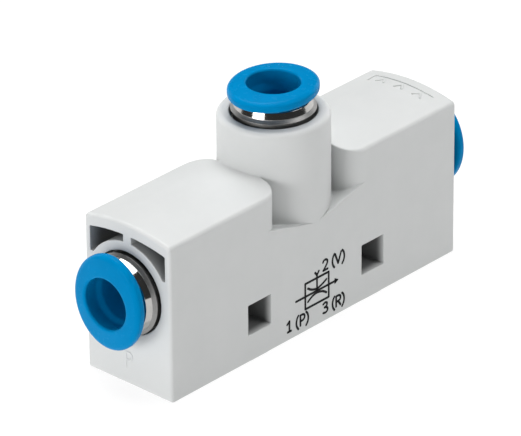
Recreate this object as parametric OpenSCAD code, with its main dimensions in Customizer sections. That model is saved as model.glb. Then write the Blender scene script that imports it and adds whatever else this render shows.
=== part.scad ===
// Inline vacuum ejector with a T-shaped housing and three push-in ports
// for 6 mm tube. Compressed air enters at -X, the suction line joins the
// tower at +Z, and the exhaust leaves at +X.
// Origin: centre of the underside. +Z up, +X along the flow.

/* [Housing] */
// Length of the housing between its two port faces
body_l = 52; // [48:0.5:60]
// Width of the housing, and diameter of the tower
body_w = 14; // [13.5:0.1:15]
// Height of the long side faces
side_h = 21; // [20:0.1:24]
// Rise of the arched top above the side faces
crown = 0.95; // [0.3:0.05:2]
// Height of the tower's rim above the underside
tower_h = 27.5; // [26.5:0.1:32]
// Height of the through passage's axis
axis_h = 12.7; // [12.5:0.1:13]

/* [Relief beside the tower] */
// Where the block's rounded inner corner begins, from the tower's axis
relief_x = 9.2; // [8.5:0.1:11]
// Radius of the block's rounded inner corner
relief_r = 3.0; // [1.5:0.1:3.5]
// Height of the relief's floor at the tower's axis
relief_z = 14.05; // [13:0.05:17]
// Rise of the relief's floor for each millimetre away from the tower
relief_slope = 0.245; // [0:0.01:0.5]
// Fall of the relief's floor from the side face inwards, in degrees
relief_fall = 12; // [0:1:14]

/* [Side holes] */
// Width and height of the two square through holes
hole_a = 4.1; // [4.05:0.05:4.2]
// Distance of each hole's centre from the tower's axis
hole_x = 10.35; // [10:0.05:11]
// Height of the holes' centres
hole_z = 5.75; // [5:0.05:5.9]

/* [Coring pockets] */
// Depth of the pockets in each port face
pocket_d = 9; // [2:0.5:9.5]
// Thickness of the wall outside the pockets
pocket_wall = 0.85; // [0.7:0.05:1.5]
// Thickness of the rib between the two pockets
pocket_rib = 1.3; // [0.8:0.1:2.5]
// Thickness of the roof over the pockets
pocket_roof = 1.6; // [1:0.1:2]
// Radius of the round boss below the pockets
boss_r = 6.7; // [6.4:0.05:6.8]

/* [Ports] */
// Outer diameter of the tube that the ports take
tube_d = 6; // [6:0.05:6.1]
// Radial play between the tube and what guides it
tube_play = 0.1; // [0.06:0.01:0.15]
// Radius of the recess that holds each cartridge
recess_r = 5.45; // [5.4:0.01:5.6]
// Depth of that recess
recess_d = 9.5; // [9.3:0.1:9.8]
// Depth of the tube's stop below the port face
stop_d = 12; // [11.5:0.1:12.3]
// Height of the collar's rim above the port face
collar_rise = 1.7; // [1.4:0.1:1.8]
// Radius of the collar's rim
collar_rim_r = 4.65; // [4.6:0.05:4.8]
// Height of the step between the collar's shoulder and its neck
collar_step = 0.85; // [0.75:0.05:1]
// Radius of that step
collar_step_r = 4.95; // [4.9:0.05:5.1]

/* [Release rings] */
// Height of the pressure port's ring above its port face
pressure_rise = 4; // [3.6:0.05:4.2]
// Height of the vacuum port's ring above the tower's rim
vacuum_rise = 3.75; // [3.6:0.05:4.2]
// Height of the exhaust port's ring above its port face
exhaust_rise = 4; // [3.6:0.05:4.2]
// Length of a ring, from the flange's outer face to the sleeve's end
ring_l = 8.4; // [8.2:0.1:8.6]
// Thickness of the flange
flange_t = 1.5; // [1.4:0.05:1.6]
// Long half-axis of the oval flange
flange_a = 6.3; // [6:0.1:6.8]
// Short half-axis of the oval flange
flange_b = 5.4; // [5.3:0.1:5.9]
// Turn of the oval on the pressure and exhaust ports, from level
ring_turn_x = 85; // [0:1:180]
// Turn of the oval on the tower, from the long axis of the housing
ring_turn_z = 11; // [0:1:180]
// Depth of the wide mouth in the ring
mouth_d = 1.9; // [0.8:0.1:2.5]
// Radius of the wide mouth
mouth_r = 3.33; // [3.3:0.01:3.5]
// Gap left between the flange and the collar when a ring is pressed home
press_gap = 0.05; // [0.05:0.01:0.15]

/* [Nozzles] */
// Throat radius of the jet nozzle
jet_throat_r = 0.35; // [0.25:0.01:0.5]
// Throat radius of the receiver nozzle
recv_throat_r = 0.65; // [0.5:0.05:0.9]

/* [Hidden] */
e = 0.01;
half_l = body_l / 2;
half_w = body_w / 2;
top_h = side_h + crown;
arch_r = (half_w * half_w + crown * crown) / (2 * crown);
tube_r = tube_d / 2;
socket_r = tube_r + tube_play;
sleeve_r = 4.0;
sleeve_bore_r = socket_r;
collar_bore_r = sleeve_r + 0.05;
collar_r = recess_r - 0.03;
pressed_rise = collar_rise + press_gap + flange_t;
teeth_s = pressed_rise - ring_l - 0.05;
seat_x = half_l - stop_d;
jet_seat_r = 2.6;
recv_seat_r = 3.0;
step_x = 7;
grey = [0.85, 0.86, 0.86];
blue = [0.0, 0.53, 0.80];

// Places a port's parts: s runs out of the port face along the local +Z
module at_pressure() { translate([-half_l, 0, axis_h]) rotate([0, -90, 0]) rotate([0, 0, -90]) children(); }
module at_exhaust() { translate([half_l, 0, axis_h]) rotate([0, 90, 0]) rotate([0, 0, 90]) children(); }
module at_vacuum() { translate([0, 0, tower_h]) children(); }

// Outline of the ends, with its arched top, as a block along X
module arched_block(len, w, h_top, r) {
    intersection() {
        translate([-len / 2, -w / 2, 0]) cube([len, w, h_top + 1]);
        translate([-len / 2 - 1, 0, h_top - r]) rotate([0, 90, 0]) cylinder(h = len + 2, r = r, $fn = 240);
    }
}

// Plan of one relief between the tower and a block, in the +X -Y quarter
module relief_plan() {
    difference() {
        translate([0, -half_w - 1]) square([relief_x, half_w - 2.2]);
        circle(r = half_w, $fn = 120);
        translate([relief_x, -half_w + relief_r]) circle(r = relief_r, $fn = 96);
        translate([relief_x - relief_r, -half_w + relief_r]) square([relief_r + 1, half_w]);
    }
}

// Everything above the relief's sloping floor
module above_floor() {
    translate([0, -half_w, 0]) rotate([-relief_fall, 0, 0]) translate([0, half_w, 0])
    rotate([90, 0, 0]) translate([0, 0, -20]) linear_extrude(height = 40)
        polygon([[-1, relief_z - relief_slope], [relief_x + 1, relief_z + relief_slope * (relief_x + 1)],
                 [relief_x + 1, tower_h + 5], [-1, tower_h + 5]]);
}

module reliefs() {
    for (sx = [0, 1], sy = [0, 1])
        mirror([sx, 0, 0]) mirror([0, sy, 0])
            intersection() {
                translate([0, 0, 5]) linear_extrude(height = tower_h) relief_plan();
                above_floor();
            }
}

// The two coring pockets in the +X port face
module pockets() {
    intersection() {
        difference() {
            translate([half_l - pocket_d, 0, 0])
                for (sy = [0, 1]) mirror([0, sy, 0])
                    translate([0, pocket_rib / 2, axis_h + 3.6])
                        cube([pocket_d + 1, half_w - pocket_wall - pocket_rib / 2, 8]);
            translate([half_l - pocket_d - 1, 0, axis_h]) rotate([0, 90, 0]) cylinder(h = pocket_d + 3, r = boss_r, $fn = 96);
        }
        translate([0, 0, top_h - pocket_roof - arch_r]) rotate([0, 90, 0]) cylinder(h = half_l + 2, r = arch_r, $fn = 240);
    }
}

// Recess and tube socket of one port, s = 0 at the port face
module port_cavity() {
    rotate_extrude($fn = 96)
        polygon([[0, 1], [recess_r + 0.15, 1], [recess_r + 0.15, 0], [recess_r, -0.15], [recess_r, -recess_d],
                 [socket_r, -recess_d], [socket_r, -stop_d], [0, -stop_d]]);
}

// Passages between the three ports
module passages() {
    // seat of the jet nozzle, with its shoulder
    translate([-seat_x - e, 0, axis_h]) rotate([0, 90, 0]) cylinder(h = seat_x - step_x + e, r = jet_seat_r, $fn = 72);
    translate([-step_x - e, 0, axis_h]) rotate([0, 90, 0]) cylinder(h = step_x, r = 2.0, $fn = 72);
    // seat of the receiver nozzle, with its shoulder
    translate([4.5, 0, axis_h]) rotate([0, 90, 0]) cylinder(h = seat_x - 4.5 + e, r = recv_seat_r, $fn = 72);
    translate([0, 0, axis_h]) rotate([0, 90, 0]) cylinder(h = 4.5 + e, r = 2.3, $fn = 72);
    // suction chamber below the tower
    translate([0, 0, axis_h - 2.6]) cylinder(h = tower_h - stop_d - axis_h + 2.6 + e, r = 2.6, $fn = 72);
}

module housing() {
    color(grey) difference() {
        union() {
            difference() {
                arched_block(body_l, body_w, top_h, arch_r);
                reliefs();
            }
            // tower with a softly rounded rim
            translate([0, 0, 5]) rotate_extrude($fn = 120)
                polygon(concat([[0, 0], [half_w, 0]],
                    [for (i = [0 : 6]) [half_w - 0.7 + 0.7 * cos(i * 15), tower_h - 5 - 0.7 + 0.7 * sin(i * 15)]],
                    [[0, tower_h - 5]]));
        }
        pockets();
        mirror([1, 0, 0]) pockets();
        at_pressure() port_cavity();
        at_exhaust() port_cavity();
        at_vacuum() port_cavity();
        passages();
        for (sx = [-1, 1])
            translate([sx * hole_x - hole_a / 2, -half_w - 1, hole_z - hole_a / 2]) cube([hole_a, body_w + 2, hole_a]);
    }
}

// Turned nozzle: wide inlet cone, narrow throat, slowly widening mouth
module jet_nozzle() {
    color([0.78, 0.79, 0.80])
    translate([0, 0, axis_h]) rotate([0, 90, 0]) rotate_extrude($fn = 72)
        polygon([[1.1, -seat_x + 0.05], [jet_seat_r - 0.25, -seat_x + 0.05], [jet_seat_r - 0.02, -seat_x + 0.3],
                 [jet_seat_r - 0.02, -12.1], [1.55, -12.1], [1.55, -10.9], [jet_seat_r - 0.02, -10.9],
                 [jet_seat_r - 0.02, -step_x - 0.02], [1.9, -step_x - 0.02], [1.9, -3.4], [1.0, -1.2],
                 [jet_throat_r + 0.2, -1.2], [jet_throat_r, -5.2], [jet_throat_r, -5.8], [1.1, -9.5]]);
}

module o_ring(x, mid_r, wire_r) {
    color([0.12, 0.12, 0.13])
    translate([x, 0, axis_h]) rotate([0, 90, 0]) rotate_extrude($fn = 72)
        translate([mid_r, 0]) circle(r = wire_r, $fn = 32);
}

module jet_nozzle_seal() { o_ring(-11.5, 2.075, 0.5); }

// Moulded mixing tube and diffuser
module receiver_nozzle() {
    color([0.93, 0.93, 0.90])
    translate([0, 0, axis_h]) rotate([0, 90, 0]) rotate_extrude($fn = 72)
        polygon([[1.35, 1.2], [1.75, 1.2], [2.2, 2.0], [2.2, 4.52], [recv_seat_r - 0.02, 4.52],
                 [recv_seat_r - 0.02, 10.9], [1.95, 10.9], [1.95, 12.1], [recv_seat_r - 0.02, 12.1],
                 [recv_seat_r - 0.02, seat_x - 0.3], [recv_seat_r - 0.25, seat_x - 0.05], [1.6, seat_x - 0.05],
                 [recv_throat_r, 7.5], [recv_throat_r, 3.4]]);
}

module receiver_nozzle_seal() { o_ring(11.5, 2.475, 0.5); }

// Release ring: oval flange with a slightly coned face, and a round sleeve with
// a wide mouth. rise is the height of its outer face above the port face.
module release_ring(turn, rise) {
    color(blue) translate([0, 0, rise]) difference() {
        union() {
            rotate([0, 0, turn]) {
                translate([0, 0, -flange_t]) linear_extrude(height = 0.3) oval(-0.25);
                translate([0, 0, -flange_t + 0.2]) linear_extrude(height = flange_t - 0.9) oval(0);
                translate([0, 0, -0.8]) linear_extrude(height = 0.3) oval(-0.1);
                translate([0, 0, -0.6]) linear_extrude(height = 0.25) oval(-0.28);
                translate([0, 0, -0.5]) linear_extrude(height = 0.5) oval(-0.55);
            }
            rotate_extrude($fn = 96)
                polygon([[0, 0.25 - ring_l], [sleeve_r - 0.45, -ring_l], [sleeve_r - 0.2, -ring_l],
                         [sleeve_r, 0.3 - ring_l], [sleeve_r, -0.5], [0, -0.5]]);
        }
        rotate_extrude($fn = 96)
            polygon([[mouth_r, 0.05], [9, 0.05 - 0.12 * (9 - mouth_r)], [9, 1], [mouth_r, 1]]);
        rotate_extrude($fn = 96)
            polygon([[0, -ring_l - 1], [sleeve_bore_r, -ring_l - 1], [sleeve_bore_r, -mouth_d - 0.25],
                     [mouth_r, -mouth_d], [mouth_r, -0.3], [mouth_r + 0.3, e],
                     [mouth_r + 0.3, 1], [0, 1]]);
    }
}

// Oval outline of the flange, grown by g
module oval(g) {
    polygon([for (i = [0 : 95]) [(flange_a + g) * cos(i * 3.75), (flange_b + g) * sin(i * 3.75)]]);
}

// Nickel-plated sleeve: waist under the edge of a sloping shoulder, neck with
// a rounded rim, funnel, bore for the release ring, wide skirt
module collar() {
    color([0.75, 0.74, 0.72]) rotate_extrude($fn = 96)
        polygon([[collar_r, teeth_s - 0.9], [collar_r, -1.6], [collar_r - 0.42, -1.75], [collar_r - 0.42, collar_step - 0.55],
                 [collar_r - 0.13, collar_step - 0.49], [collar_r - 0.09, collar_step - 0.41],
                 [collar_step_r + 0.03, collar_step - 0.06], [collar_step_r, collar_step], [collar_rim_r + 0.02, collar_rise - 0.12],
                 [collar_rim_r - 0.03, collar_rise - 0.03], [collar_rim_r - 0.1, collar_rise],
                 [collar_rim_r - 0.2, collar_rise - 0.05], [collar_rim_r - 0.28, collar_rise - 0.25],
                 [collar_bore_r + 0.1, -1.2], [collar_bore_r, -1.4], [collar_bore_r, -3.8],
                 [4.9, -4.6], [4.9, teeth_s - 0.9]]);
}

// Toothed stainless ring: sloping teeth that bite the tube
module grip_ring() {
    color([0.66, 0.67, 0.69]) difference() {
        rotate_extrude($fn = 96)
            polygon([[4.85, teeth_s - 0.3], [4.85, teeth_s - 0.05], [4.1, teeth_s - 0.05],
                     [tube_r - 0.02, teeth_s - 0.5], [tube_r - 0.02, teeth_s - 0.57],
                     [tube_r + 0.08, teeth_s - 0.65], [4.1, teeth_s - 0.3]]);
        for (i = [0 : 9])
            rotate([0, 0, i * 36 + 18]) translate([2, -0.3, teeth_s - 1.5]) cube([2.3, 0.6, 2]);
    }
}

// Plastic ring that backs the toothed ring
module support_ring() {
    color([0.20, 0.21, 0.22]) rotate_extrude($fn = 72)
        polygon([[socket_r, -7.6], [recess_r - 0.05, -7.6], [recess_r - 0.05, teeth_s - 0.92], [4.85, teeth_s - 0.92],
                 [4.85, teeth_s - 0.32], [4.15, teeth_s - 0.32], [socket_r + 0.02, teeth_s - 0.72]]);
}

// Rubber ring with a lip that seals on the tube
module tube_seal() {
    color([0.10, 0.10, 0.11]) rotate_extrude($fn = 72)
        polygon([[3.5, -7.62], [recess_r - 0.02, -7.62], [recess_r - 0.02, -recess_d + 0.03], [3.5, -recess_d + 0.03],
                 [3.3, -8.95], [tube_r - 0.03, -8.6], [tube_r - 0.03, -8.4], [3.3, -8.1]]);
}

module pressure_release_ring() { at_pressure() release_ring(ring_turn_x, pressure_rise); }
module pressure_collar() { at_pressure() collar(); }
module pressure_grip_ring() { at_pressure() grip_ring(); }
module pressure_support_ring() { at_pressure() support_ring(); }
module pressure_tube_seal() { at_pressure() tube_seal(); }
module vacuum_release_ring() { at_vacuum() release_ring(ring_turn_z, vacuum_rise); }
module vacuum_collar() { at_vacuum() collar(); }
module vacuum_grip_ring() { at_vacuum() grip_ring(); }
module vacuum_support_ring() { at_vacuum() support_ring(); }
module vacuum_tube_seal() { at_vacuum() tube_seal(); }
module exhaust_release_ring() { at_exhaust() release_ring(ring_turn_x, exhaust_rise); }
module exhaust_collar() { at_exhaust() collar(); }
module exhaust_grip_ring() { at_exhaust() grip_ring(); }
module exhaust_support_ring() { at_exhaust() support_ring(); }
module exhaust_tube_seal() { at_exhaust() tube_seal(); }

housing();
jet_nozzle();
jet_nozzle_seal();
receiver_nozzle();
receiver_nozzle_seal();
pressure_release_ring();
pressure_collar();
pressure_grip_ring();
pressure_support_ring();
pressure_tube_seal();
vacuum_release_ring();
vacuum_collar();
vacuum_grip_ring();
vacuum_support_ring();
vacuum_tube_seal();
exhaust_release_ring();
exhaust_collar();
exhaust_grip_ring();
exhaust_support_ring();
exhaust_tube_seal();
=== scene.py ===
import math

import bpy
import numpy as np
from mathutils import Matrix, Vector


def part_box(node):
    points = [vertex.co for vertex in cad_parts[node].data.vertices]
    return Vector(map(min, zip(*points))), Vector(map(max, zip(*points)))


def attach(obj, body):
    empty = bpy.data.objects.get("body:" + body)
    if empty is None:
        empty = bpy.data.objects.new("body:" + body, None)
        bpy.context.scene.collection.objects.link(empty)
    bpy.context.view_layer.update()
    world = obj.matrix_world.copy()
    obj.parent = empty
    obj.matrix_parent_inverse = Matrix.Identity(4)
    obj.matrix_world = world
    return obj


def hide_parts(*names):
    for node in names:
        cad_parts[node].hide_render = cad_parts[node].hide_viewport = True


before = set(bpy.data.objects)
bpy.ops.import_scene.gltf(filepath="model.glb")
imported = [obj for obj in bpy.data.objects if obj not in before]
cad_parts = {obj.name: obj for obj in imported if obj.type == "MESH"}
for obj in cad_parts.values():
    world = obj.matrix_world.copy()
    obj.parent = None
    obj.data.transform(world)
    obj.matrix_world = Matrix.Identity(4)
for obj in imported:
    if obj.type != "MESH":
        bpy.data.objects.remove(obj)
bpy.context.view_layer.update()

F = np.float32


# ---------------------------------------------------------------- sizes, in mm
def box(node):
    lo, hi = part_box(node)
    return np.array(lo) * 1000, np.array(hi) * 1000


h_lo, h_hi = box("housing")
c_lo, c_hi = box("pressure_collar")
HALF_L, HALF_W, TOWER = float(h_hi[0]), float(h_hi[1]), float(h_hi[2])
AXIS = float(c_lo[2] + c_hi[2]) / 2            # height of the through passage
COLLAR_R = float(c_hi[2] - c_lo[2]) / 2
REC_R = COLLAR_R + 0.03                        # recess for each cartridge
SOCK_R, BOSS_R = 3.1, 6.7
TOP, ARCH_R = 21.95, 26.2605                   # crown of the blocks and its radius
COLLAR_TOP = -HALF_L - float(c_lo[0])          # rim of a collar above its port face
RISE = {
    "pressure": -HALF_L - float(box("pressure_release_ring")[0][0]),
    "vacuum": float(box("vacuum_release_ring")[1][2]) - TOWER,
    "exhaust": float(box("exhaust_release_ring")[1][0]) - HALF_L,
}
RING_L = RISE["pressure"] + HALF_L + float(box("pressure_release_ring")[1][0])
FLANGE = 1.5                                   # thickness of a release ring's flange
TEETH = COLLAR_TOP + 0.05 + FLANGE - RING_L - 0.05   # where the toothed ring's outer face lies
TURN = {"pressure": math.radians(85), "vacuum": math.radians(11), "exhaust": math.radians(85)}
PORTS = {
    "pressure": ((0, -1, 0), (0, 0, 1), (-1, 0, 0), (-HALF_L, 0, AXIS)),
    "vacuum": ((1, 0, 0), (0, 1, 0), (0, 0, 1), (0, 0, TOWER)),
    "exhaust": ((0, 1, 0), (0, 0, 1), (1, 0, 0), (HALF_L, 0, AXIS)),
}
BODY = {"pressure": "pressure_release", "vacuum": "vacuum_release", "exhaust": "exhaust_release"}


# ---------------------------------------------------------------- materials
def material(name):
    m = bpy.data.materials.new(name)
    m.use_nodes = True
    nt = m.node_tree
    return m, nt, nt.nodes["Principled BSDF"]


def noise(nt, coord, scale, detail=3.0, rough=0.5):
    n = nt.nodes.new("ShaderNodeTexNoise")
    n.inputs["Scale"].default_value = scale
    n.inputs["Detail"].default_value = detail
    n.inputs["Roughness"].default_value = rough
    nt.links.new(coord, n.inputs["Vector"])
    return n.outputs["Fac"]


def spread(nt, value, lo, hi, a, b):
    n = nt.nodes.new("ShaderNodeMapRange")
    n.inputs["From Min"].default_value, n.inputs["From Max"].default_value = lo, hi
    n.inputs["To Min"].default_value, n.inputs["To Max"].default_value = a, b
    nt.links.new(value, n.inputs["Value"])
    return n.outputs["Result"]


def tint(nt, value, stops):
    n = nt.nodes.new("ShaderNodeValToRGB")
    r = n.color_ramp
    while len(r.elements) < len(stops):
        r.elements.new(0.5)
    for el, (p, c) in zip(r.elements, stops):
        el.position, el.color = p, (*c, 1)
    nt.links.new(value, n.inputs["Fac"])
    return n.outputs["Color"]


def bump(nt, bsdf, value, distance, strength=1.0, under=None):
    n = nt.nodes.new("ShaderNodeBump")
    n.inputs["Strength"].default_value = strength
    n.inputs["Distance"].default_value = distance
    nt.links.new(value, n.inputs["Height"])
    if under is not None:
        nt.links.new(under, n.inputs["Normal"])
    nt.links.new(n.outputs["Normal"], bsdf.inputs["Normal"])
    return n.outputs["Normal"]


def coords(nt, stretch=(1, 1, 1), kind="Object"):
    t = nt.nodes.new("ShaderNodeTexCoord")
    m = nt.nodes.new("ShaderNodeMapping")
    m.inputs["Scale"].default_value = stretch
    nt.links.new(t.outputs[kind], m.inputs["Vector"])
    return m.outputs["Vector"]


def plastic(name, dark, light, rough, grain=0.000004, mottle=260, ior=1.5, gloss=0.5, tinge=(1, 1, 1)):
    """Moulded plastic: slight clouding of the colour, uneven sheen, fine spark-eroded grain."""
    m, nt, b = material(name)
    co = coords(nt)
    cloud = noise(nt, co, mottle, 4.0, 0.55)
    nt.links.new(tint(nt, cloud, [(0.3, dark), (0.7, light)]), b.inputs["Base Color"])
    sheen = noise(nt, co, mottle * 3.1, 3.0, 0.6)
    nt.links.new(spread(nt, sheen, 0.3, 0.7, rough[0], rough[1]), b.inputs["Roughness"])
    broad = bump(nt, b, noise(nt, co, 900.0, 2.0), grain * 2.5, 0.5)
    bump(nt, b, noise(nt, co, 9000.0, 3.0, 0.65), grain, 0.8, broad)
    b.inputs["IOR"].default_value = ior
    b.inputs["Specular IOR Level"].default_value = gloss
    b.inputs["Specular Tint"].default_value = (*tinge, 1)
    return m


def turned_metal(name, dark, light, rough, lines=0.0000012, across=5200, along=40, speckle=0.0, stamped=False):
    """Metal with fine marks running round the part (the UV map holds millimetres round and along the profile)."""
    m, nt, b = material(name)
    obj = coords(nt)
    if stamped:
        streak = noise(nt, obj, 2600.0, 5.0, 0.6)
    else:
        streak = noise(nt, coords(nt, (along * 0.001, across * 0.001, 1), "UV"), 1.0, 5.0, 0.6)
    cloud = noise(nt, obj, 700.0, 4.0, 0.6)
    nt.links.new(tint(nt, cloud, [(0.3, dark), (0.7, light)]), b.inputs["Base Color"])
    nt.links.new(spread(nt, streak, 0.3, 0.7, rough[0], rough[1]), b.inputs["Roughness"])
    b.inputs["Metallic"].default_value = 1.0
    first = bump(nt, b, streak, lines, 0.6)
    if speckle:
        bump(nt, b, noise(nt, obj, 6500.0, 4.0, 0.7), speckle, 0.8, first)
    return m


GREY = plastic("moulded_grey", (0.587, 0.600, 0.597), (0.604, 0.615, 0.612), (0.44, 0.56))


def paint_cavity_shade(m):
    """Painted shade: the moulding's colour is darkened going into its square side holes and coring pockets, where
    shade falls.
    """
    nt = m.node_tree
    b = nt.nodes["Principled BSDF"]
    xyz = nt.nodes.new("ShaderNodeSeparateXYZ")
    nt.links.new(coords(nt, (1000, 1000, 1000)), xyz.inputs[0])

    def math_node(kind, a, b=None):
        n = nt.nodes.new("ShaderNodeMath")
        n.operation = kind
        for k, v in enumerate((a, b)):
            if v is not None and isinstance(v, (int, float)):
                n.inputs[k].default_value = v
            elif v is not None:
                nt.links.new(v, n.inputs[k])
        return n.outputs[0]

    def between(v, lo, hi):
        return math_node("MULTIPLY", math_node("GREATER_THAN", v, lo), math_node("LESS_THAN", v, hi))

    def fade(depth, over):
        n = nt.nodes.new("ShaderNodeMapRange")
        n.interpolation_type = "SMOOTHSTEP"
        n.inputs["From Min"].default_value, n.inputs["From Max"].default_value = 0.0, over
        nt.links.new(depth, n.inputs["Value"])
        return n.outputs["Result"]

    x, y, z = math_node("ABSOLUTE", xyz.outputs["X"]), math_node("ABSOLUTE", xyz.outputs["Y"]), xyz.outputs["Z"]
    hole = math_node("MULTIPLY", between(x, 8.1, 12.6), between(z, 3.5, 8.0))
    hole = math_node("MULTIPLY", hole, fade(math_node("SUBTRACT", HALF_W, y), 1.4))
    up = math_node("SUBTRACT", z, AXIS)
    rho = math_node("SQRT", math_node("ADD", math_node("MULTIPLY", y, y), math_node("MULTIPLY", up, up)))
    low = math_node("ADD", z, ARCH_R - TOP)
    arch = math_node("SQRT", math_node("ADD", math_node("MULTIPLY", y, y), math_node("MULTIPLY", low, low)))
    pocket = math_node("MULTIPLY", between(y, 0.3, 6.6), between(rho, BOSS_R - 0.15, 12.0))
    pocket = math_node("MULTIPLY", pocket, math_node("LESS_THAN", arch, ARCH_R - 0.5))
    pocket = math_node("MULTIPLY", pocket, between(z, 15.8, 24.0))
    pocket = math_node("MULTIPLY", pocket, math_node("GREATER_THAN", x, 15.8))
    pocket = math_node("MULTIPLY", pocket, fade(math_node("SUBTRACT", HALF_L, x), 2.2))
    # painted shade mask, strongest deep inside a hole or pocket
    deep = math_node("MAXIMUM", hole, pocket)
    painted_shade_mix = nt.nodes.new("ShaderNodeMix")
    painted_shade_mix.data_type = "RGBA"
    painted_shade_mix.blend_type = "MULTIPLY"
    colour = b.inputs["Base Color"].links[0].from_socket
    nt.links.new(deep, painted_shade_mix.inputs[0])
    nt.links.new(colour, painted_shade_mix.inputs[6])
    # painted shade: deep inside, the base colour is multiplied down by this grey
    painted_shade_mix.inputs[7].default_value = (0.34, 0.34, 0.345, 1)
    nt.links.new(painted_shade_mix.outputs[2], b.inputs["Base Color"])


# paint shade into the grey moulding's holes and pockets
paint_cavity_shade(GREY)
BLUE = plastic("moulded_blue", (0.0, 0.192, 0.438), (0.0, 0.212, 0.474), (0.20, 0.30), grain=0.000003, mottle=420, ior=1.13, tinge=(0.1, 0.45, 0.8))
NECK = turned_metal("nickel_bright", (0.42, 0.413, 0.40), (0.48, 0.472, 0.458), (0.06, 0.11))
SHOULDER = turned_metal("nickel_satin", (0.27, 0.267, 0.261), (0.335, 0.331, 0.324), (0.40, 0.52), speckle=0.000005)
ALUMINIUM = turned_metal("aluminium_turned", (0.74, 0.75, 0.76), (0.82, 0.83, 0.84), (0.18, 0.32), lines=0.000003)
STEEL = turned_metal("steel_stamped", (0.52, 0.53, 0.55), (0.62, 0.63, 0.65), (0.2, 0.34), stamped=True)
NATURAL = plastic("natural_plastic", (0.80, 0.80, 0.75), (0.86, 0.86, 0.82), (0.36, 0.5), mottle=500)
RUBBER = plastic("black_rubber", (0.012, 0.012, 0.013), (0.030, 0.030, 0.032), (0.55, 0.72), grain=0.000008, mottle=700, ior=1.5)
DARK = plastic("dark_plastic", (0.030, 0.031, 0.034), (0.050, 0.051, 0.055), (0.4, 0.55), mottle=500)
INK = plastic("mark_ink", (0.004, 0.004, 0.005), (0.010, 0.010, 0.011), (0.5, 0.7), grain=0.000002, mottle=1800, gloss=0.2)


# ---------------------------------------------------------------- meshes
def mesh_from(name, points, faces, normals=None, uv=None, loop_normals=None):
    """A mesh from points in mm and equal-length faces, with its own smooth normals."""
    me = bpy.data.meshes.new(name)
    k = faces.shape[1]
    me.vertices.add(len(points))
    me.vertices.foreach_set("co", (points * 0.001).astype(F).ravel())
    me.loops.add(len(faces) * k)
    me.loops.foreach_set("vertex_index", faces.astype(np.int32).ravel())
    me.polygons.add(len(faces))
    me.polygons.foreach_set("loop_start", np.arange(0, len(faces) * k, k, dtype=np.int32))
    me.update(calc_edges=True)
    if uv is not None:
        me.uv_layers.new(name="UVMap").data.foreach_set("uv", uv.astype(F).ravel())
    if normals is not None:
        me.normals_split_custom_set_from_vertices(normals.astype(F).tolist())
    if loop_normals is not None:
        me.normals_split_custom_set(loop_normals.astype(F).tolist())
    return me


def piece(name, mesh, mats, body, nodes=()):
    o = bpy.data.objects.new(name, mesh)
    bpy.context.scene.collection.objects.link(o)
    for m in mats:
        mesh.materials.append(m)
    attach(o, body)
    if nodes:
        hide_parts(*nodes)
    return o


def outline(corners, turn=11.0):
    """A closed outline in (r, s) from (r, s, fillet) corners taken anticlockwise: points and outward normals."""
    n = len(corners)
    c = np.array([k[:2] for k in corners], float)
    pts, nrm = [], []
    for i in range(n):
        a, p, b = c[i - 1], c[i], c[(i + 1) % n]
        d1, d2 = (p - a), (b - p)
        l1, l2 = np.hypot(*d1), np.hypot(*d2)
        d1, d2 = d1 / l1, d2 / l2
        n1, n2 = np.array([d1[1], -d1[0]]), np.array([d2[1], -d2[0]])
        cross, dot = d1[0] * d2[1] - d1[1] * d2[0], d1 @ d2
        ang = math.atan2(cross, dot)
        if abs(ang) < 1e-3:
            pts.append(p); nrm.append(n1)
            continue
        rad = corners[i][2]
        t = min(rad * math.tan(abs(ang) / 2), 0.48 * l1, 0.48 * l2)
        rad = t / math.tan(abs(ang) / 2)
        steps = max(3, int(math.ceil(math.degrees(abs(ang)) / turn)))
        sign = 1 if ang > 0 else -1
        centre = p - d1 * t - sign * n1 * rad
        base = math.atan2(n1[1], n1[0])
        for j in range(steps + 1):
            w = base + ang * j / steps
            nn = np.array([math.cos(w), math.sin(w)])
            pts.append(centre + sign * nn * rad); nrm.append(nn)
    return np.array(pts), np.array(nrm)


def revolve(name, r, s, nr, ns, place, segs=192, shift=0.0):
    """A ring-shaped mesh: r, s and the outline's normal are (segments or 1) x points arrays, closed both ways."""
    ex, ey, es, org = (np.array(v, float) for v in place)
    phi = shift + np.arange(segs) * 2 * math.pi / segs
    r, s, nr, ns = (np.broadcast_to(np.atleast_2d(v), (segs, np.atleast_2d(v).shape[1])) for v in (r, s, nr, ns))
    k = r.shape[1]
    er = np.cos(phi)[:, None] * ex + np.sin(phi)[:, None] * ey
    ep = -np.sin(phi)[:, None] * ex + np.cos(phi)[:, None] * ey
    P = org + r[..., None] * er[:, None] + s[..., None] * es
    dr = (np.roll(r, -1, 0) - np.roll(r, 1, 0)) / (4 * math.pi / segs)
    N = nr[..., None] * er[:, None] - (dr / r * nr)[..., None] * ep[:, None] + ns[..., None] * es
    N /= np.linalg.norm(N, axis=2, keepdims=True)
    i, j = np.meshgrid(np.arange(segs), np.arange(k), indexing="ij")
    i1, j1 = (i + 1) % segs, (j + 1) % k
    faces = np.stack([i * k + j, i1 * k + j, i1 * k + j1, i * k + j1], -1).reshape(-1, 4)
    run = np.concatenate([[0], np.cumsum(np.hypot(np.diff(r[0]), np.diff(s[0])))])
    run = np.concatenate([run, [run[-1] + np.hypot(r[0, 0] - r[0, -1], s[0, 0] - s[0, -1])]])
    around = np.arange(segs + 1) * 2 * math.pi / segs * float(np.mean(r))
    u = np.stack([around[i], around[i + 1], around[i + 1], around[i]], -1)
    v = np.stack([run[j], run[j], run[j + 1], run[j + 1]], -1)
    uv = np.stack([u, v], -1).reshape(-1, 2)
    return mesh_from(name, P.reshape(-1, 3), faces, N.reshape(-1, 3), uv)


def lathe(name, corners, place, segs=192):
    p, n = outline(corners)
    return revolve(name, p[:, 0], p[:, 1], n[:, 0], n[:, 1], place, segs), p


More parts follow.
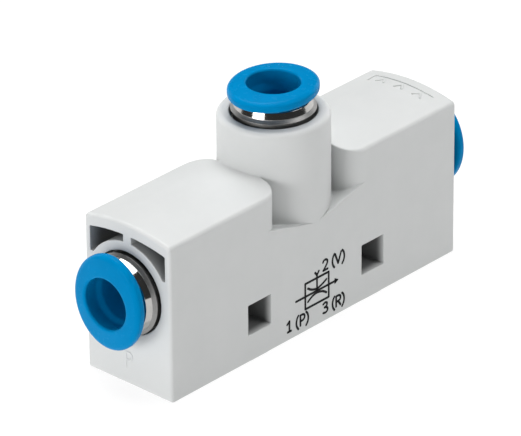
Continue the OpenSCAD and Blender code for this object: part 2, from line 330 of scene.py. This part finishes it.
# ---------------------------------------------------------------- housing
def rmax(a, b, r):
    """Where two solids meet, with a rounded edge of radius r."""
    u, v = np.maximum(a + r, 0), np.maximum(b + r, 0)
    return np.minimum(-r, np.maximum(a, b)) + np.sqrt(u * u + v * v)


def rmin(a, b, r):
    return -rmax(-a, -b, r)


def ramp(t):
    t = np.clip(t, 0, 1)
    return t * t * (3 - 2 * t)


def stroke(u, v, points):
    """Distance in a plane from a line through these points."""
    best = None
    for (ax, ay), (bx, by) in zip(points[:-1], points[1:]):
        dx, dy = bx - ax, by - ay
        t = np.clip(((u - ax) * dx + (v - ay) * dy) / (dx * dx + dy * dy), 0, 1)
        d = np.sqrt((u - ax - t * dx) ** 2 + (v - ay - t * dy) ** 2)
        best = d if best is None else np.minimum(best, d)
    return best


# port letter on the pressure end, drawn as seen from outside (across, up)
LETTER_P = [(-0.55, 2.45), (-0.55, 4.45), (-0.05, 4.45), (0.22, 4.38), (0.40, 4.18), (0.42, 3.95),
            (0.36, 3.70), (0.18, 3.52), (-0.05, 3.45), (-0.55, 3.45)]
PANEL = (22.55, 24.35, 4.75)                   # recessed panel on the exhaust block: x from, x to, half width
ARROWS = (-3.0, 0.0, 3.0)                      # flow arrowheads in it


def housing(x, y, z):
    """Signed distance, or near it, of the moulding; mm."""
    X, Y = np.abs(x), np.abs(y)
    side = Y - HALF_W
    rho = np.sqrt(y * y + (z - AXIS) ** 2)          # from the through axis
    rt = np.sqrt(x * x + y * y)                     # from the tower's axis
    plan = rmax(6.2 - X, side, 3.0)                 # block with its round inner corner
    arch = np.sqrt(y * y + (z - (TOP - ARCH_R)) ** 2) - ARCH_R
    blocks = rmax(plan, arch, 0.18 + 0.27 * ramp((X - 6.6) / 2.6))
    floor = (z * 0.978148 + (HALF_W - Y) * 0.207912 - 14.05 - 0.245 * X) / 1.0296
    base = np.maximum(rmax(floor, side, 0.14), X - 12)
    tower = np.maximum(rmax(rt - HALF_W, z - TOWER, 0.7), 5 - z)
    r = 0.02 + 0.2 * ramp((HALF_W - 0.05 - Y) / 0.8)
    f = rmin(blocks, base, r)
    f = rmin(f, tower, r)
    f = rmax(f, -z, 0.25)
    f = rmax(f, X - HALF_L, 0.45)
    # shallow panel with three raised arrowheads
    panel = rmax(np.abs(x - (PANEL[0] + PANEL[1]) / 2) - (PANEL[1] - PANEL[0]) / 2, Y - PANEL[2], 0.12)
    f = rmax(f, -np.maximum(panel, -arch - 0.13), 0.04)
    head = None
    for c in ARROWS:
        h = stroke(x, y, [(PANEL[0] + 0.45, c + 0.62), (PANEL[1] - 0.45, c), (PANEL[0] + 0.45, c - 0.62)]) - 0.13
        head = h if head is None else np.minimum(head, h)
    f = rmin(f, np.maximum(rmax(head, arch + 0.02, 0.05), -arch - 0.6), 0.03)
    # raised port letter
    letter = stroke(-y, z, LETTER_P) - 0.13
    f = rmin(f, np.maximum(rmax(letter, -x - HALF_L - 0.07, 0.05), x + HALF_L - 0.5), 0.03)
    # recess and socket of the two end ports, then of the tower
    for rr, s in ((rho, X - HALF_L), (rt, z - TOWER)):
        f = rmax(f, -np.maximum(rr - REC_R, -9.5 - s), 0.13)
        f = rmax(f, -np.maximum(rr - SOCK_R, -12 - s), 0.08)
    # passages along x, and the suction chamber
    void = np.minimum(np.maximum(rho - 2.6, np.abs(x + 10.75) - 3.75), np.maximum(rho - 2.0, np.abs(x + 3.5) - 3.6))
    void = np.minimum(void, np.maximum(rho - 2.3, np.abs(x - 2.25) - 2.25))
    void = np.minimum(void, np.maximum(rho - 3.0, np.abs(x - 9.5) - 5.0))
    void = np.minimum(void, np.maximum(rt - 2.6, np.abs(z - 13.05) - 2.95))
    f = np.maximum(f, -void)
    # coring pockets
    roof = np.sqrt(y * y + (z - (TOP - 1.6 - ARCH_R)) ** 2) - ARCH_R
    pocket = rmax(rmax(rmax(0.65 - Y, Y - 6.15, 0.1), rmax(roof, BOSS_R - rho, 0.1), 0.12), 16.3 - z, 0.1)
    pocket = rmax(pocket, 17 - X, 0.2)
    f = rmax(f, -pocket, 0.11)
    # square holes
    hole = rmax(np.abs(X - 10.35) - 2.05, np.abs(z - 5.75) - 2.05, 0.12)
    f = rmax(f, -hole, 0.1)
    return f


def lines(*parts):
    """Grid lines: (start, end, spacing) runs joined end to end."""
    out = [np.array([parts[0][0]], float)]
    for a, b, d in parts:
        out.append(np.linspace(a, b, max(1, int(round((b - a) / d))) + 1)[1:])
    return np.concatenate(out)


def nets(f, gx, gy, gz):
    """Surface of f = 0 on a grid, one point a cell: points and four-sided faces."""
    s = f < 0
    c = [s[a:a + s.shape[0] - 1, b:b + s.shape[1] - 1, d:d + s.shape[2] - 1] for a in (0, 1) for b in (0, 1) for d in (0, 1)]
    al, an = c[0].copy(), c[0].copy()
    for q in c[1:]:
        al &= q
        an |= q
    I = np.nonzero(an & ~al)
    n = len(I[0])
    acc, cnt = np.zeros((n, 3)), np.zeros(n)
    G = (gx.astype(float), gy.astype(float), gz.astype(float))
    for A in [(a, b, d) for a in (0, 1) for b in (0, 1) for d in (0, 1)]:
        for ax in range(3):
            if A[ax]:
                continue
            B = list(A)
            B[ax] = 1
            fa = f[I[0] + A[0], I[1] + A[1], I[2] + A[2]].astype(float)
            fb = f[I[0] + B[0], I[1] + B[1], I[2] + B[2]].astype(float)
            m = (fa < 0) != (fb < 0)
            t = np.where(m, fa / np.where(m, fa - fb, 1), 0)
            P = np.stack([G[k][I[k] + A[k]] for k in range(3)], 1)
            P[:, ax] += t * (G[ax][I[ax] + 1] - P[:, ax])
            acc += P * m[:, None]
            cnt += m
    V = acc / cnt[:, None]
    vid = np.full([k - 1 for k in f.shape], -1, np.int32)
    vid[I] = np.arange(n)
    quads = []
    for ax in range(3):
        sl = [slice(1, -1)] * 3
        sl[ax] = slice(0, -1)
        sh = [slice(1, -1)] * 3
        sh[ax] = slice(1, None)
        a, b = s[tuple(sl)], s[tuple(sh)]
        E = np.nonzero(a != b)
        inside = a[E]
        e = [E[0].copy(), E[1].copy(), E[2].copy()]
        u, v = [k for k in range(3) if k != ax]
        e[u] = e[u] + 1
        e[v] = e[v] + 1

        def at(du, dv):
            w = [e[0].copy(), e[1].copy(), e[2].copy()]
            w[u] = w[u] - du
            w[v] = w[v] - dv
            return vid[w[0], w[1], w[2]]

        q = np.stack([at(1, 1), at(0, 1), at(0, 0), at(1, 0)], 1)
        flip = inside if ax != 1 else ~inside
        q[~flip] = q[~flip][:, ::-1]
        quads.append(q)
    return V, np.concatenate(quads)


def slope(P, h=0.004):
    g = np.zeros_like(P)
    for d in np.array([[1, -1, -1], [-1, -1, 1], [-1, 1, -1], [1, 1, 1]], float):
        R = P + h * d
        g += d * housing(R[:, 0], R[:, 1], R[:, 2])[:, None]
    return g / (4 * h)


def build_housing(triangles=190000):
    left = lines((0, 9.7, .11), (9.7, 12.8, .11), (12.8, 16.3, .45), (16.3, 17.3, .12), (17.3, 25.1, .6), (25.1, 26.26, .072))
    right = lines((0, 9.7, .11), (9.7, 12.8, .11), (12.8, 16.3, .45), (16.3, 17.3, .12), (17.3, 22.3, .6), (22.3, 24.6, .07),
                  (24.6, 25.1, .25), (25.1, 26.2, .075))
    gx = np.concatenate([-left[:0:-1], right]) + 0.0137
    half = lines((0, .5, .1), (.5, .8, .06), (.8, 6, .09), (6, 7.2, .08))
    gy = np.concatenate([-half[:0:-1], half]) + 0.0091
    gz = lines((-.25, .45, .08), (.45, 2.2, .2), (2.2, 4.7, .085), (4.7, 8, .095), (8, 16, .104), (16, 16.6, .08),
               (16.6, 19.5, .104), (19.5, 22.2, .08), (22.2, 26.5, .12), (26.5, 27.7, .08)) + 0.0113
    gx, gy, gz = gx.astype(F), gy.astype(F), gz.astype(F)
    f = np.empty((len(gx), len(gy), len(gz)), F)
    for i in range(0, len(gx), 16):
        f[i:i + 16] = housing(gx[i:i + 16, None, None], gy[None, :, None], gz[None, None, :])
    P, Q = nets(f, gx, gy, gz)
    for _ in range(3):
        g = slope(P)
        step = (housing(P[:, 0], P[:, 1], P[:, 2]) / np.maximum((g * g).sum(1), 0.25))[:, None] * g
        step *= np.minimum(1, 0.08 / np.maximum(np.linalg.norm(step, axis=1, keepdims=True), 1e-9))
        P = P - step
    dense = bpy.data.objects.new("dense", mesh_from("dense", P, Q))
    bpy.context.scene.collection.objects.link(dense)
    m = dense.modifiers.new("fewer", "DECIMATE")
    m.decimate_type, m.ratio, m.use_collapse_triangulate = "COLLAPSE", triangles / (2 * len(Q)), True
    small = bpy.data.meshes.new_from_object(dense.evaluated_get(bpy.context.evaluated_depsgraph_get()))
    spare = dense.data
    bpy.data.objects.remove(dense)
    bpy.data.meshes.remove(spare)
    co = np.zeros(len(small.vertices) * 3, F)
    small.vertices.foreach_get("co", co)
    co = co.reshape(-1, 3).astype(float) * 1000
    li = np.zeros(len(small.loops), np.int32)
    small.loops.foreach_get("vertex_index", li)
    tri = li.reshape(-1, 3)
    corner = co[tri]
    inner = (0.94 * corner + 0.06 * corner.mean(1, keepdims=True)).reshape(-1, 3)
    N = slope(inner)
    size = np.linalg.norm(N, axis=1, keepdims=True)
    flat = np.cross(corner[:, 1] - corner[:, 0], corner[:, 2] - corner[:, 0])
    flat /= np.maximum(np.linalg.norm(flat, axis=1, keepdims=True), 1e-12)
    flat = np.repeat(flat, 3, axis=0)
    N = N / np.maximum(size, 1e-9)
    bad = (size[:, 0] < 0.3) | ((N * flat).sum(1) < 0.3)
    N[bad] = flat[bad]
    bpy.data.meshes.remove(small)
    return mesh_from("housing_moulding", co, tri, loop_normals=N)


piece("housing_moulding", build_housing(), [GREY], "body", ["housing"])


# ---------------------------------------------------------------- release rings
def ring_mesh(name, port, segs=216):
    a, b, thick = 6.3, 5.4, FLANGE             # the oval flange
    phi = np.arange(segs) * 2 * math.pi / segs
    w = phi - TURN[port]
    R = (a * b / np.sqrt((b * np.cos(w)) ** 2 + (a * np.sin(w)) ** 2))[:, None]
    one = np.ones((segs, 1))
    top = RISE[port]
    cols = {"r": [], "s": [], "nr": [], "ns": []}

    def add(r, s, nr, ns):
        cols["r"].append(np.broadcast_to(r, (segs, np.shape(r)[-1] if np.ndim(r) else 1)) * 1.0)
        n = cols["r"][-1].shape[1]
        for key, v in (("s", s), ("nr", nr), ("ns", ns)):
            cols[key].append(np.broadcast_to(v, (segs, n)) * 1.0)

    # sleeve's end, out along it and up its outer wall
    sleeve, bore, mouth, end = 4.0, SOCK_R, 3.33, -RING_L
    pts, nrm = outline([(bore, end + 0.2, 0.10), (bore + 0.42, end, 0.12), (sleeve - 0.22, end, 0.10), (sleeve, end + 0.32, 0.2),
                        (sleeve, -thick, 0.30), (9.0, -thick, 0.1), (9.0, 4.0, 0.1), (bore, 4.0, 0.1)], 10)
    keep = (pts[:, 0] < 8) & (pts[:, 1] < 3)
    pts, nrm = pts[keep], nrm[keep]
    add(pts[:, 0][None], pts[:, 1][None], nrm[:, 0][None], nrm[:, 1][None])
    # under side of the flange, its lower edge, its rim
    q = 0.45
    t = np.linspace(0, math.pi / 2, 12)[None]
    add(R - q + q * np.sin(t), -thick + q - q * np.cos(t), np.sin(t), -np.cos(t))
    # upper edge, from the rim onto the coned face: a soft round that is wider than it is high
    cone = lambda r: -0.12 * np.maximum(r - start, 0)
    start, wide, deep = mouth + 0.42, 0.70, 0.46
    t = np.linspace(0, math.pi / 2, 16)[None]
    r = R - wide + wide * np.cos(t)
    s = -0.12 * (r - start) - deep + deep * np.sin(t)
    dr, ds = -wide * np.sin(t), deep * np.cos(t) + 0.12 * wide * np.sin(t)
    ln = np.sqrt(dr * dr + ds * ds)
    add(r, s, ds / ln, -dr / ln)
    # coned face in bands, a narrow soft shoulder, the flat round the mouth, its rounded lip
    lip = 0.3
    inner = R - wide
    for k in (0.66, 0.33):
        r = start + 0.25 + (inner - start - 0.25) * k
        add(r, cone(r), 0.119, 0.993)
    for k in np.linspace(1, 0, 6):
        r = start - 0.1 + 0.35 * k
        add(r, -0.12 * 0.35 / 2 * k * k - 0.12 * 0.075 * k * k, 0.12 * k, math.sqrt(1 - (0.12 * k) ** 2))
    t = np.linspace(0, math.pi / 2, 10)[None]
    add(mouth + lip - lip * np.sin(t) * one, -lip + lip * np.cos(t), -np.sin(t), np.cos(t))
    # down to the step and into the bore
    deep = 1.9
    pts, nrm = outline([(9, 3, 0.1), (mouth, 3.0, 0.1), (mouth, -deep, 1.6), (bore, -deep - 0.8, 1.6), (bore, end + 0.2, 0.1), (9, end + 0.2, 0.1)], 3)
    keep = (pts[:, 0] < 8) & (pts[:, 1] < 0) & (pts[:, 1] > end + 1)
    pts, nrm = pts[keep], nrm[keep]
    add(pts[:, 0][None], pts[:, 1][None], nrm[:, 0][None], nrm[:, 1][None])
    r, s, nr, ns = (np.concatenate(cols[k], 1) for k in ("r", "s", "nr", "ns"))
    return revolve(name, r, s + top, nr, ns, PORTS[port], segs)


for port in PORTS:
    name = port + "_ring"
    piece(name, ring_mesh(name, port), [BLUE], BODY[port], [port + "_release_ring"])


# ---------------------------------------------------------------- cartridges
STEP_R, STEP_S, RIM_R = 4.95, 0.85, 4.65
for port, place in PORTS.items():
    # nickel-plated collar: sloping shoulder, bright neck, funnel, bore, skirt
    bore = 4.05
    mesh, p = lathe(port + "_sleeve", [
        (4.9, TEETH - 0.9, 0.05), (COLLAR_R, TEETH - 0.9, 0.12), (COLLAR_R, -1.6, 0.10), (4.98, -1.75, 0.15),
        (4.98, 0.30, 0.08), (5.27, 0.36, 0.03), (5.31, 0.44, 0.05),
        (STEP_R + 0.01, STEP_S - 0.02, 0.04), (STEP_R - 0.01, STEP_S + 0.05, 0.04), (RIM_R, COLLAR_TOP, 0.10),
        (RIM_R - 0.21, COLLAR_TOP, 0.09), (bore + 0.1, -1.2, 0.3), (bore, -1.4, 0.3), (bore, -3.8, 0.3), (4.9, -4.6, 0.15)], place)
    sleeve = piece(port + "_sleeve", mesh, [SHOULDER, NECK], "body", [port + "_collar"])
    n = len(p)
    upper = (p[:, 1] > STEP_S - 0.001) & (np.roll(p[:, 1], -1) > STEP_S - 0.001) & (p[:, 0] > 4.3)
    index = np.tile(upper.astype(np.int32), len(mesh.polygons) // n)
    mesh.polygons.foreach_set("material_index", index)

    mesh, p = lathe(port + "_backing", [
        (SOCK_R, -7.6, 0.08), (REC_R - 0.05, -7.6, 0.08), (REC_R - 0.05, TEETH - 0.92, 0.06), (4.85, TEETH - 0.92, 0.04),
        (4.85, TEETH - 0.32, 0.05), (4.15, TEETH - 0.32, 0.06), (SOCK_R + 0.02, TEETH - 0.72, 0.06)], place, 160)
    piece(port + "_backing", mesh, [DARK], "body", [port + "_support_ring"])

    mesh, p = lathe(port + "_lip_seal", [
        (3.5, -7.62, 0.06), (3.3, -8.1, 0.15), (2.97, -8.4, 0.07), (2.97, -8.6, 0.07), (3.3, -8.95, 0.15),
        (3.5, -9.47, 0.06), (REC_R - 0.02, -9.47, 0.15), (REC_R - 0.02, -7.62, 0.15)], place, 160)
    piece(port + "_lip_seal", mesh, [RUBBER], "body", [port + "_tube_seal"])

# ---------------------------------------------------------------- nozzles, along +X
along = ((0, 1, 0), (0, 0, 1), (1, 0, 0), (0, 0, AXIS))
mesh, p = lathe("jet", [
    (1.1, -13.95, 0.08), (0.35, -5.8, 0.6), (0.35, -5.2, 0.6), (0.55, -1.2, 0.04), (1.0, -1.2, 0.05), (1.9, -3.4, 0.2),
    (1.9, -7.02, 0.05), (2.58, -7.02, 0.08), (2.58, -10.9, 0.06), (1.55, -10.9, 0.1), (1.55, -12.1, 0.1), (2.58, -12.1, 0.06),
    (2.58, -13.7, 0.05), (2.35, -13.95, 0.05)][::1], along, 160)
piece("jet", mesh, [ALUMINIUM], "body", ["jet_nozzle"])
mesh, p = lathe("receiver", [
    (1.6, 13.95, 0.08), (0.65, 7.5, 0.8), (0.65, 3.4, 0.8), (1.35, 1.2, 0.1), (1.75, 1.2, 0.1), (2.2, 2.0, 0.2), (2.2, 4.52, 0.05),
    (2.98, 4.52, 0.08), (2.98, 10.9, 0.06), (1.95, 10.9, 0.1), (1.95, 12.1, 0.1), (2.98, 12.1, 0.06), (2.98, 13.7, 0.05),
    (2.75, 13.95, 0.05)], along, 160)
piece("receiver", mesh, [NATURAL], "body", ["receiver_nozzle"])
for name, x, mid, node in (("jet_o_ring", -11.5, 2.075, "jet_nozzle_seal"), ("receiver_o_ring", 11.5, 2.475, "receiver_nozzle_seal")):
    t = np.arange(40) * 2 * math.pi / 40
    mesh = revolve(name, mid + 0.5 * np.cos(t), x + 0.5 * np.sin(t), np.cos(t), np.sin(t), along, 144)
    piece(name, mesh, [RUBBER], "body", [node])

for port in PORTS:
    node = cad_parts[port + "_grip_ring"]
    node.data.materials.clear()
    node.data.materials.append(STEEL)


# ---------------------------------------------------------------- port marks on the side face
def smooth(points, closed=False, steps=7):
    """Points on a soft curve through these points."""
    p = np.array(points, float)
    if len(p) < 3:
        return p
    e = np.vstack([2 * p[0] - p[1], p, 2 * p[-1] - p[-2]])
    out = []
    for i in range(1, len(e) - 2):
        for t in np.linspace(0, 1, steps, endpoint=False):
            a, b, c, d = e[i - 1:i + 3]
            out.append(0.5 * (2 * b + (c - a) * t + (2 * a - 5 * b + 4 * c - d) * t * t + (3 * b - a - 3 * c + d) * t ** 3))
    return np.array(out + [p[-1]])


def ribbon(points, width, y0, y1, ends=6):
    """A line of even width with round ends, raised from y0 to y1: its outline and depths, for fill to make faces from.
    """
    p = np.array(points, float)
    d = np.gradient(p, axis=0)
    d /= np.maximum(np.linalg.norm(d, axis=1, keepdims=True), 1e-9)
    n = np.stack([-d[:, 1], d[:, 0]], 1)
    h = width / 2
    loop = []
    for i in range(len(p)):
        loop.append(p[i] - n[i] * h)
    for k in range(1, ends):
        w = math.pi * k / ends
        loop.append(p[-1] + h * (-n[-1] * math.cos(w) + d[-1] * math.sin(w)))
    for i in range(len(p) - 1, -1, -1):
        loop.append(p[i] + n[i] * h)
    for k in range(1, ends):
        w = math.pi * k / ends
        loop.append(p[0] + h * (n[0] * math.cos(w) - d[0] * math.sin(w)))
    return solid(loop, y0, y1)


def solid(loop, y0, y1):
    """A flat outline in (x, z), anticlockwise seen from -Y, as a thin solid; its faces are filled below."""
    return np.array(loop, float), y0, y1


def fill(parts, name):
    """Thin solids from outlines, as one mesh."""
    import bmesh
    bm = bmesh.new()
    for loop, y0, y1 in parts:
        top = [bm.verts.new((a * 0.001, y1 * 0.001, b * 0.001)) for a, b in loop]
        low = [bm.verts.new((a * 0.001, y0 * 0.001, b * 0.001)) for a, b in loop]
        n = len(loop)
        edges = [bm.edges.new((top[i], top[(i + 1) % n])) for i in range(n)]
        got = bmesh.ops.triangle_fill(bm, edges=edges, use_beauty=True)
        tris = [g for g in got["geom"] if isinstance(g, bmesh.types.BMFace)]
        twin = dict(zip(top, low))
        for t in tris:
            t.normal_update()
            if t.normal.y > 0:
                t.normal_flip()
            bm.faces.new([twin[v] for v in reversed(t.verts[:])])
        for i in range(n):
            bm.faces.new((top[i], low[i], low[(i + 1) % n], top[(i + 1) % n]))
    bmesh.ops.recalc_face_normals(bm, faces=bm.faces[:])
    me = bpy.data.meshes.new(name)
    bm.to_mesh(me)
    bm.free()
    return me


GLYPHS = {  # strokes in mm from the left end of the base line, 1.42 high
    "1": [("line", [(0.0, 1.10), (0.40, 1.42), (0.40, 0.0)]), ("line", [(0.08, 0.0), (0.70, 0.0)])],
    "2": [("soft", [(0.0, 1.16), (0.14, 1.36), (0.44, 1.42), (0.74, 1.26), (0.80, 0.96), (0.60, 0.60), (0.32, 0.28), (0.04, 0.0)]),
          ("line", [(0.04, 0.0), (0.84, 0.0)])],
    "3": [("soft", [(0.0, 1.28), (0.34, 1.42), (0.64, 1.30), (0.68, 1.02), (0.50, 0.82), (0.24, 0.76)]),
          ("soft", [(0.24, 0.76), (0.60, 0.68), (0.80, 0.40), (0.66, 0.10), (0.36, 0.0), (0.0, 0.06)])],
    "P": [("line", [(0.0, 0.0), (0.0, 1.42)]),
          ("soft", [(0.0, 1.42), (0.42, 1.42), (0.70, 1.28), (0.78, 1.02), (0.68, 0.76), (0.40, 0.62), (0.0, 0.62)])],
    "V": [("line", [(0.0, 1.42), (0.56, 0.0), (1.12, 1.42)])],
    "R": [("line", [(0.0, 0.0), (0.0, 1.42)]),
          ("soft", [(0.0, 1.42), (0.46, 1.42), (0.74, 1.28), (0.80, 1.04), (0.70, 0.78), (0.40, 0.66), (0.0, 0.66)]),
          ("line", [(0.36, 0.66), (0.80, 0.0)])],
    "(": [("soft", [(0.36, 1.52), (0.12, 1.16), (0.0, 0.62), (0.10, 0.08), (0.36, -0.34)])],
    ")": [("soft", [(0.0, 1.52), (0.26, 1.16), (0.38, 0.62), (0.28, 0.08), (0.0, -0.34)])],
}
marks = []
FACE, LIFT, PEN, FINE = -HALF_W, 0.012, 0.325, 0.32


def draw(kind, points, width=PEN):
    p = smooth(points) if kind == "soft" else np.array(points, float)
    if kind == "line" and len(p) > 2:
        for a, b in zip(p[:-1], p[1:]):
            marks.append(ribbon([a, b], width, FACE + 0.02, FACE - LIFT))
    else:
        marks.append(ribbon(p, width, FACE + 0.02, FACE - LIFT))


for x, z, word in ((-5.46, 1.24, "1"), (-3.80, 1.24, "("), (-3.06, 1.24, "P"), (-2.00, 1.24, ")"),
                   (1.12, 7.18, "2"), (2.84, 7.18, "("), (3.34, 7.18, "V"), (4.66, 7.18, ")"),
                   (1.14, 1.20, "3"), (2.84, 1.20, "("), (3.52, 1.20, "R"), (4.62, 1.20, ")")):
    for kind, pts in GLYPHS[word]:
        draw(kind, [(x + a, z + b) for a, b in pts], FINE)
# ejector symbol: box, throat curves, flow arrow, suction arrow
for a, b in (((-2.15, 6.66), (2.15, 6.66)), ((2.15, 6.66), (2.15, 3.15)), ((2.15, 3.15), (-2.15, 3.15)), ((-2.15, 3.15), (-2.15, 6.66))):
    draw("line", [a, b])
draw("soft", [(-1.66, 5.84), (-1.10, 5.48), (-0.55, 5.28), (0.0, 5.18), (0.55, 5.30), (1.12, 5.50), (1.72, 5.80)])
draw("soft", [(-1.66, 3.98), (-1.05, 4.36), (-0.50, 4.55), (0.0, 4.62), (0.55, 4.54), (1.15, 4.34), (1.72, 3.96)])
draw("line", [(-3.84, 4.88), (3.40, 4.88)])
marks.append(solid([(3.22, 4.50), (3.28, 4.47), (3.92, 4.84), (3.94, 4.88), (3.92, 4.92), (3.28, 5.29), (3.22, 5.26)], FACE + 0.02, FACE - LIFT))
draw("line", [(0.0, 7.15), (0.0, 4.90)])
draw("line", [(-0.34, 7.50), (0.0, 7.08)])
draw("line", [(0.34, 7.50), (0.0, 7.08)])
piece("port_marks", fill(marks, "port_marks"), [INK], "body")


# ---------------------------------------------------------------- studio
def floor_disc(radius, rings=24, segs=96):
    bm_pts, faces = [(0, 0, 0)], []
    me = bpy.data.meshes.new("studio_floor")
    pts = [(0.0, 0.0, 0.0)]
    for i in range(1, rings + 1):
        for j in range(segs):
            w = 2 * math.pi * j / segs
            pts.append((radius * i / rings * math.cos(w), radius * i / rings * math.sin(w), 0.0))
    tri = [(0, 1 + j, 1 + (j + 1) % segs) for j in range(segs)]
    for i in range(1, rings):
        a, b = 1 + (i - 1) * segs, 1 + i * segs
        for j in range(segs):
            tri.append((a + j, b + j, b + (j + 1) % segs, a + (j + 1) % segs))
    me.from_pydata(pts, [], tri)
    me.update()
    return me


floor = bpy.data.objects.new("studio_floor", floor_disc(3.0))
bpy.context.scene.collection.objects.link(floor)
m, nt, b = material("floor_pale")
nt.links.new(tint(nt, noise(nt, coords(nt), 3.0), [(0.3, (0.16, 0.16, 0.16)), (0.7, (0.18, 0.18, 0.18))]), b.inputs["Base Color"])
b.inputs["Roughness"].default_value = 0.9
b.inputs["Emission Color"].default_value = (1, 1, 1, 1)
out = nt.nodes.new("ShaderNodeVectorMath")      # evens out the light towards the rim
out.operation = "LENGTH"
nt.links.new(coords(nt), out.inputs[0])
nt.links.new(spread(nt, out.outputs["Value"], 0.12, 0.7, 0.86, 1.03), b.inputs["Emission Strength"])
floor.data.materials.append(m)

world = bpy.data.worlds.new("studio")
bpy.context.scene.world = world
world.use_nodes = True
nt = world.node_tree
back = nt.nodes["Background"]
tc = nt.nodes.new("ShaderNodeTexCoord")
xyz = nt.nodes.new("ShaderNodeSeparateXYZ")
nt.links.new(tc.outputs["Generated"], xyz.inputs[0])
rise = nt.nodes.new("ShaderNodeMapRange")      # the floor goes on to the horizon, dim walls above it
rise.interpolation_type = "SMOOTHSTEP"
rise.inputs["From Min"].default_value, rise.inputs["From Max"].default_value = -0.008, 0.004
rise.inputs["To Min"].default_value, rise.inputs["To Max"].default_value = 1.16, 0.05
nt.links.new(xyz.outputs["Z"], rise.inputs["Value"])
nt.links.new(rise.outputs["Result"], back.inputs["Strength"])
back.inputs["Color"].default_value = (1, 1, 1, 1)


def softbox(name, place, aim, width, height, power, color=(1, 1, 1)):
    l = bpy.data.lights.new(name, "AREA")
    l.shape, l.size, l.size_y, l.energy, l.color = "RECTANGLE", width, height, power, color
    o = bpy.data.objects.new(name, l)
    bpy.context.scene.collection.objects.link(o)
    o.location = place
    o.rotation_mode = "QUATERNION"
    o.rotation_quaternion = (Vector(aim) - Vector(place)).to_track_quat("-Z", "Y")
    o.visible_camera = False
    return o


for name, way, power in (("top", (0, 0, 1), 3.6), ("over", (0.25, 0.35, 0.9), 5.2), ("back", (0, 1, 0.3), 1.05),
                         ("front", (0.4, -0.65, 0.65), 2.4), ("left", (-1, 0, 0.12), 6.7), ("far", (1, 0, 0.25), 1.3)):
    softbox("softbox_" + name, Vector(way).normalized() * 0.9 + Vector((0, 0, 0.012)), (0, 0, 0.012), 0.5, 0.5, power)

# ---------------------------------------------------------------- camera
scene = bpy.context.scene
AZ, EL, ROLL, FOCAL, DIST, TX, TY = -47.32, 27.86, -0.52, 5158.0, 634.2, 1.72, -2.21
a, e, r = (math.radians(v) for v in (AZ, EL, ROLL))
behind = np.array([math.sin(a) * math.cos(e), -math.cos(a) * math.cos(e), math.sin(e)])
right = np.array([math.cos(a), math.sin(a), 0.0])
up = np.cross(behind, right)
R = np.array([math.cos(r) * right + math.sin(r) * up, -math.sin(r) * right + math.cos(r) * up, behind])
cam = bpy.data.cameras.new("camera")
eye = bpy.data.objects.new("camera", cam)
scene.collection.objects.link(eye)
cam.sensor_fit = "HORIZONTAL"
cam.sensor_width = 36.0
cam.lens = FOCAL * 36.0 / 521.0
cam.clip_start, cam.clip_end = 0.01, 20.0
eye.rotation_mode = "QUATERNION"
eye.location = Vector((np.array([0, 0, 10.0]) + R.T @ np.array([-TX, -TY, DIST])) * 0.001)
eye.rotation_quaternion = Matrix(R.T.tolist()).to_quaternion()
scene.camera = eye
scene.view_settings.view_transform = "Standard"
